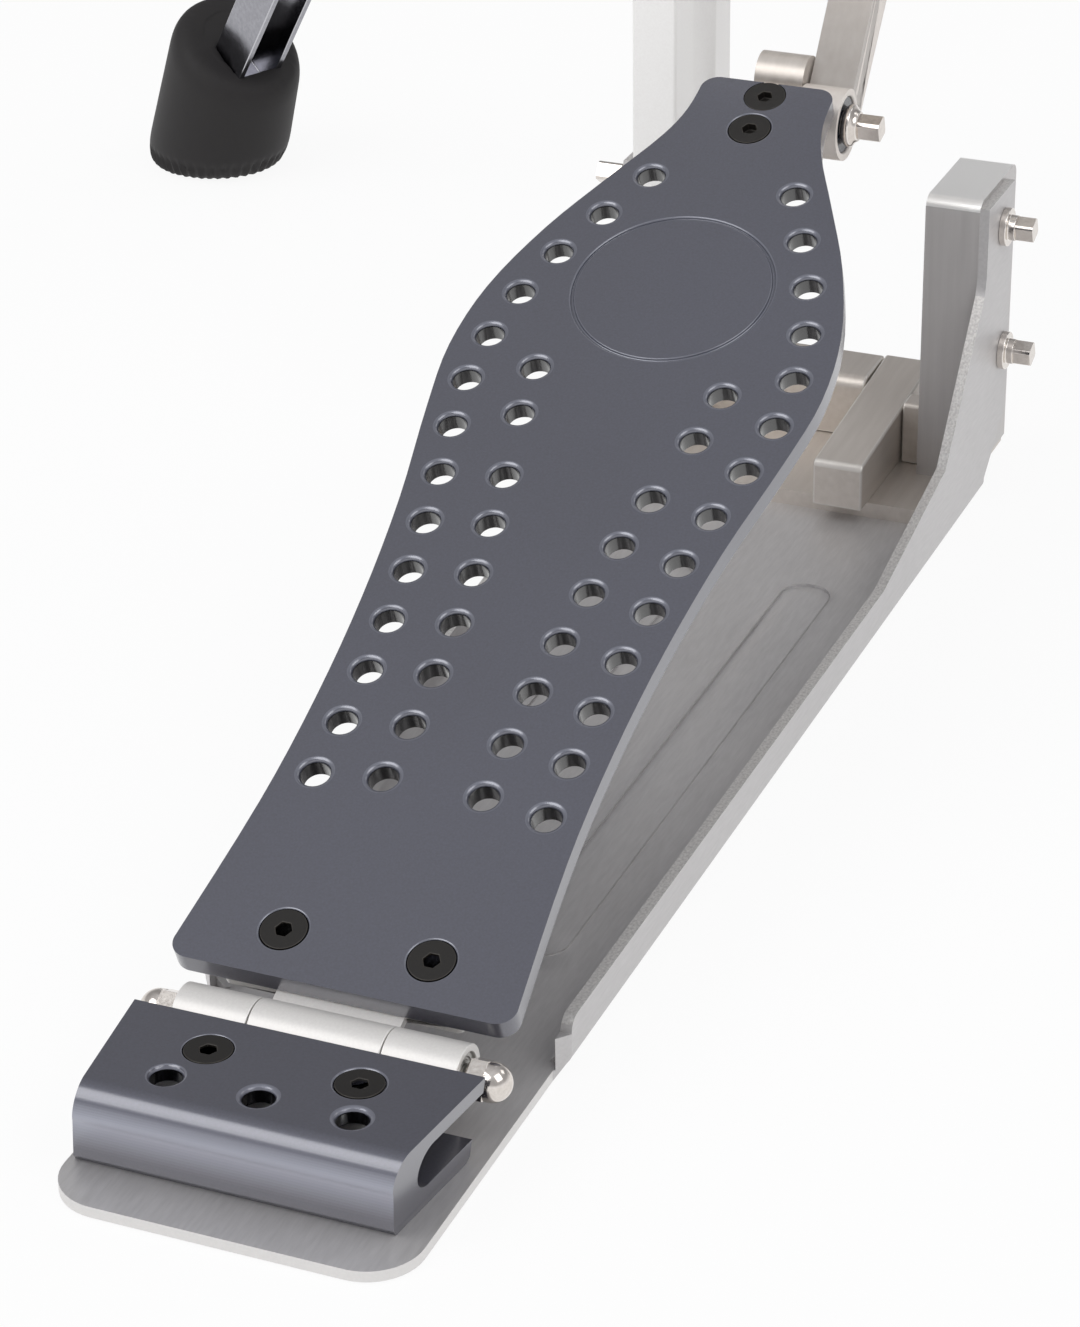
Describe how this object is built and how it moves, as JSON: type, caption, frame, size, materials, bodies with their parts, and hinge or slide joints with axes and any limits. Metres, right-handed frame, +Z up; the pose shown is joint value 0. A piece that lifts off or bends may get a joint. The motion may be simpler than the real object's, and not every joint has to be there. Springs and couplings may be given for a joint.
{
  "type": "hi-hat stand",
  "caption": "Hi-hat stand with a long perforated footboard, a direct link drive, a folding leg set, a sprung pull rod, a cymbal seat and a clutch.",
  "frame": {"origin": "on the floor, under the axis of the tube and pull rod, at the bottom face of the base plate", "axes": "+Z up along the tube, +Y from the heel of the footboard to its toe and on towards the legs, +X to the right of someone who stands at the heel"},
  "size_m": [0.6782, 0.6523, 1.01],
  "materials": {
    "base_satin": "satin blasted sheet",
    "machined_silver": "satin machined",
    "pale_silver": "satin pale",
    "grey_silver": "satin mid grey",
    "board_slate": "slate anodised satin",
    "black_screw": "black oxide",
    "bright_steel": "polished",
    "pin_steel": "ground",
    "bearing_dark": "bearing seal",
    "tube_chrome": "polished",
    "collar_black": "black",
    "foot_rubber": "matt moulded",
    "felt_grey": "pressed felt",
    "spring_steel": "bare wire"
  },
  "bodies": {
    "frame": {"base_plate": "base_satin", "tie_plate": "machined_silver", "rear_bridge": "machined_silver", "spacer_bar": "machined_silver", "stop_block": "machined_silver", "left_post": "pale_silver", "right_post": "grey_silver", "post_bolts": "bright_steel", "post_foot_screws": "black_screw", "heel_plate": "board_slate", "heel_plate_screws": "black_screw", "heel_foot_screws": "black_screw", "hinge_base_leaf": "pale_silver", "hinge_pin": "pin_steel", "hinge_bearings": "pin_steel", "hinge_dome_nuts": "bright_steel", "rocker_shaft": "pin_steel", "top_bridge": "pale_silver", "bridge_screws": "black_screw", "lower_tube": "tube_chrome", "lower_collar": "collar_black", "lower_collar_pins": "pin_steel", "tension_knob": "machined_silver", "tension_spring": "spring_steel", "tube_clamp": "collar_black"},
    "pedal": {"hinge_board_knuckle": "pale_silver", "footboard": "board_slate", "board_heel_screws": "black_screw", "toe_bracket": "machined_silver", "toe_screws": "black_screw", "toe_bolt": "bright_steel"},
    "link": {"drive_link": "machined_silver", "toe_bearing": "bearing_dark"},
    "rocker": {"rocker": "pale_silver", "rocker_bearings": "pin_steel", "rocker_pins": "pin_steel"},
    "rod": {"rod_coupler": "machined_silver", "pull_rod": "tube_chrome", "spring_collar": "pin_steel"},
    "clutch": {"clutch_body": "bright_steel", "clutch_felts": "felt_grey", "clutch_nut": "bright_steel"},
    "clutch_wing": {"clutch_screw": "bright_steel"},
    "leg_collar": {"upper_collar": "collar_black"},
    "collar_wing": {"upper_collar_screw": "bright_steel"},
    "strut_left": {"left_strut": "tube_chrome"},
    "strut_right": {"right_strut": "tube_chrome"},
    "leg_left": {"left_leg": "tube_chrome", "left_leg_pins": "pin_steel", "left_foot": "foot_rubber"},
    "leg_right": {"right_leg": "tube_chrome", "right_leg_pins": "pin_steel", "right_foot": "foot_rubber"},
    "tube_top": {"upper_tube": "tube_chrome", "memory_lock": "machined_silver", "seat_base": "collar_black"},
    "tube_wing": {"tube_clamp_screw": "bright_steel"},
    "seat": {"seat_cup": "collar_black", "seat_felt": "felt_grey"},
    "seat_screw": {"seat_tilt_screw": "bright_steel"}
  },
  "joints": [
    {"name": "footboard_hinge", "type": "hinge", "parent": "frame", "child": "pedal", "pos_m": [0, -0.401, 0.0187], "axis": [-1, 0, 0], "range_deg": [0, 9]},
    {"name": "link_pivot", "type": "hinge", "parent": "pedal", "child": "link", "pos_m": [0.01, -0.0745, 0.1408], "axis": [1, 0, 0], "range_deg": [0, 25.2]},
    {"name": "rocker_turn", "type": "hinge", "parent": "frame", "child": "rocker", "pos_m": [0, 0.046, 0.192], "axis": [1, 0, 0], "range_deg": [0, 34.4]},
    {"name": "rod_slide", "type": "slide", "parent": "frame", "child": "rod", "axis": [0, 0, -1], "range_m": [0, 0.0284], "stiffness_N_per_m": 1500, "springref_m": -0.012, "deforming": ["tension_spring"]},
    {"name": "clutch_slide", "type": "slide", "parent": "rod", "child": "clutch", "axis": [0, 0, 1], "range_m": [0, 0.035]},
    {"name": "clutch_wing_turn", "type": "hinge", "parent": "clutch", "child": "clutch_wing", "pos_m": [0.012, 0, 0.953], "axis": [1, 0, 0], "continuous": true},
    {"name": "leg_collar_slide", "type": "slide", "parent": "frame", "child": "leg_collar", "axis": [0, 0, 1], "range_m": [0, 0.0308]},
    {"name": "collar_wing_turn", "type": "hinge", "parent": "leg_collar", "child": "collar_wing", "pos_m": [0, -0.03, 0.50034], "axis": [0, -1, 0], "continuous": true},
    {"name": "tube_height", "type": "slide", "parent": "frame", "child": "tube_top", "axis": [0, 0, 1], "range_m": [-0.08, 0]},
    {"name": "tube_wing_turn", "type": "hinge", "parent": "frame", "child": "tube_wing", "pos_m": [0.02, -0.032, 0.615], "axis": [1, 0, 0], "continuous": true},
    {"name": "seat_tilt", "type": "hinge", "parent": "tube_top", "child": "seat", "pos_m": [0, 0.014, 0.8395], "axis": [-1, 0, 0], "range_deg": [0, 4]},
    {"name": "tilt_screw_rise", "type": "slide", "parent": "tube_top", "child": "seat_screw", "axis": [0, 0, 1], "range_m": [0, 0.0024]},
    {"name": "left_strut_turn", "type": "hinge", "parent": "frame", "child": "strut_left", "pos_m": [-0.02472, 0.01315, 0.303], "axis": [0.4695, 0.8829, 0], "range_deg": [0, 18]},
    {"name": "left_leg_turn", "type": "hinge", "parent": "strut_left", "child": "leg_left", "pos_m": [-0.082, 0.0436, 0.39917], "axis": [-0.4695, -0.8829, 0], "range_deg": [0, 36.2]},
    {"name": "right_strut_turn", "type": "hinge", "parent": "frame", "child": "strut_right", "pos_m": [0.02472, 0.01315, 0.303], "axis": [0.4695, -0.8829, 0], "range_deg": [0, 18]},
    {"name": "right_leg_turn", "type": "hinge", "parent": "strut_right", "child": "leg_right", "pos_m": [0.082, 0.0436, 0.39917], "axis": [-0.4695, 0.8829, 0], "range_deg": [0, 36.2]}
  ],
  "couplings": [
    {"joint": "link_pivot", "follows": "footboard_hinge", "ratio": 2.7901},
    {"joint": "rocker_turn", "follows": "footboard_hinge", "ratio": 3.81},
    {"joint": "rod_slide", "follows": "footboard_hinge", "m_per_rad": 0.1803},
    {"joint": "right_strut_turn", "follows": "left_strut_turn", "ratio": 1},
    {"joint": "left_leg_turn", "follows": "left_strut_turn", "ratio": 2},
    {"joint": "right_leg_turn", "follows": "left_strut_turn", "ratio": 2},
    {"joint": "leg_collar_slide", "follows": "left_strut_turn", "m_per_rad": 0.09764},
    {"joint": "tilt_screw_rise", "follows": "seat_tilt", "m_per_rad": 0.0335}
  ]
}
